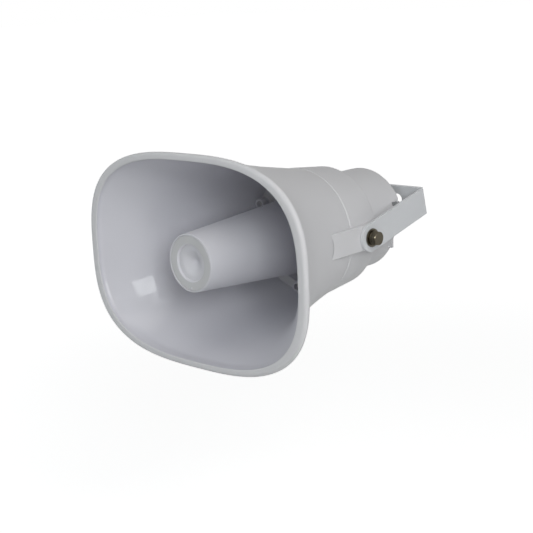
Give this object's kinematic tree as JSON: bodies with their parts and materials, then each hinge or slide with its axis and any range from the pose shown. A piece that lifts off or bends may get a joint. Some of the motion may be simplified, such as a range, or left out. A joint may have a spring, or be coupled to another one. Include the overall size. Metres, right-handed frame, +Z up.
{
  "type": "ip speaker",
  "caption": "Weatherproof network horn speaker: rounded-rectangle flared bell with a folded-path reflector, round rear housing with rain hood, and a tilting U bracket.",
  "frame": {"origin": "centre of the middle fixing hole on the bracket's outer mounting face", "axes": "-Y the way the mouth faces at rest, +X to the right seen from the mouth side, +Z up; the bracket's arms lean 13.5 degrees up from the horn's axis, so the mounting face's normal is (0, 0.972, 0.233)"},
  "size_m": [0.282, 0.2751, 0.203],
  "materials": {
    "shell_plastic": "satin off-white, weatherproof",
    "reflector_plastic": "satin light grey",
    "tube_plastic": "satin light grey, hidden inside the reflector",
    "bracket_paint": "powder coat, light grey",
    "fastener_steel": "darkened stainless",
    "screw_steel": "plain stainless",
    "seal_rubber": "black rubber",
    "insert_brass": "turned brass",
    "driver_steel": "zinc plated",
    "driver_alloy": "die-cast",
    "frame_plastic": "black moulding",
    "magnet_ferrite": "ground ferrite",
    "dome_film": "thin phenolic film",
    "coil_wire": "enamelled copper winding",
    "board_laminate": "green circuit laminate",
    "board_black": "black component bodies",
    "gland_plastic": "grey nylon"
  },
  "bodies": {
    "bracket": {"bracket": "bracket_paint"},
    "horn": {"bell": "shell_plastic", "reflector": "reflector_plastic", "nose_cap": "reflector_plastic", "throat_tube": "tube_plastic", "bell_gasket": "seal_rubber", "rear_housing": "shell_plastic", "bell_bowl": "shell_plastic", "side_pads": "shell_plastic", "rear_can": "shell_plastic", "rear_cover": "shell_plastic", "cover_gasket": "seal_rubber", "throat_plate": "driver_alloy", "diaphragm": "dome_film", "spacer_ring": "frame_plastic", "voice_coil": "coil_wire", "driver_frame": "frame_plastic", "top_plate": "driver_steel", "magnet": "magnet_ferrite", "pole_yoke": "driver_steel", "network_board": "board_laminate", "network_jack": "driver_steel", "board_parts": "board_black", "heat_sink": "driver_alloy", "gland_body": "gland_plastic", "gland_seal": "seal_rubber", "gland_nut": "gland_plastic", "gland_locknut": "gland_plastic", "pivot_bolt_right": "fastener_steel", "pivot_bolt_left": "fastener_steel", "flat_washers": "fastener_steel", "spring_washers": "fastener_steel", "pivot_inserts": "insert_brass", "reflector_screws": "screw_steel", "driver_screws": "screw_steel", "cover_screws": "screw_steel", "board_screws": "screw_steel"}
  },
  "joints": [
    {"name": "horn_tilt", "type": "hinge", "parent": "bracket", "child": "horn", "pos_m": [0, -0.09451, -0.02269], "axis": [1, 0, 0], "range_deg": [0, 115]}
  ]
}
